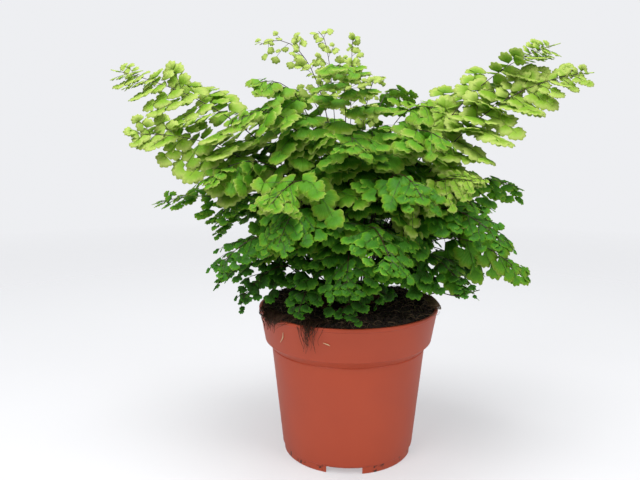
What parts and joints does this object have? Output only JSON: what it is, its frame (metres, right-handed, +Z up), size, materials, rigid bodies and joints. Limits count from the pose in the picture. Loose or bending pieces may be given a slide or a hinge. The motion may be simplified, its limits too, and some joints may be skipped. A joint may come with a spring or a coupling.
{
  "type": "potted maidenhair fern",
  "caption": "Maidenhair fern with arching fronds of small fan-shaped leaflets, growing in a round plastic nursery pot with a stacking collar.",
  "frame": {"origin": "on the pot's axis, in the plane that its foot stands on", "axes": "+Z up along the pot's axis, +X to the plant's right across its widest spread, -Y towards its front"},
  "size_m": [0.2998, 0.1955, 0.2804],
  "materials": {
    "terracotta_plastic": "satin, injection-moulded polypropylene in a terracotta colour",
    "potting_mix": null,
    "rhizome_scales": "matte, brown rhizome covered in dry scales",
    "root_fibre": "matte, fine woody fibre",
    "straw": "satin, pale dry straw",
    "dry_stalk": "satin, thin brown dried stalk",
    "mature_frond": "satin, mid-green thin leaf blade on a glossy black-brown stalk",
    "young_frond": "satin, lime-green young leaf blade on a glossy black-brown stalk"
  },
  "bodies": {
    "root": {"dry_stalk": "dry_stalk", "frond_01": "mature_frond", "frond_02": "mature_frond", "frond_03": "mature_frond", "frond_04": "mature_frond", "frond_05": "mature_frond", "frond_06": "mature_frond", "frond_07": "mature_frond", "frond_08": "mature_frond", "frond_09": "mature_frond", "frond_10": "mature_frond", "frond_11": "mature_frond", "frond_12": "mature_frond", "frond_13": "mature_frond", "frond_14": "mature_frond", "frond_15": "mature_frond", "frond_16": "mature_frond", "frond_17": "mature_frond", "frond_18": "mature_frond", "frond_19": "mature_frond", "frond_20": "mature_frond", "frond_21": "mature_frond", "frond_22": "mature_frond", "frond_23": "mature_frond", "frond_24": "mature_frond", "frond_25": "mature_frond", "frond_26": "mature_frond", "frond_27": "mature_frond", "frond_28": "mature_frond", "frond_29": "mature_frond", "frond_30": "mature_frond", "frond_31": "mature_frond", "frond_32": "mature_frond", "frond_33": "mature_frond", "frond_34": "mature_frond", "frond_35": "mature_frond", "frond_36": "young_frond", "frond_37": "young_frond", "frond_38": "mature_frond", "frond_39": "young_frond", "frond_40": "young_frond", "frond_41": "mature_frond", "frond_42": "mature_frond", "frond_43": "young_frond", "frond_44": "young_frond", "frond_45": "young_frond", "frond_46": "young_frond", "frond_47": "young_frond", "frond_48": "mature_frond", "frond_49": "mature_frond", "frond_50": "mature_frond", "frond_51": "mature_frond", "frond_52": "mature_frond", "pot": "terracotta_plastic", "potting_mix": "potting_mix", "rhizome": "rhizome_scales", "root_1": "root_fibre", "root_2": "root_fibre", "straw_1": "straw", "straw_2": "straw"}
  },
  "joints": []
}
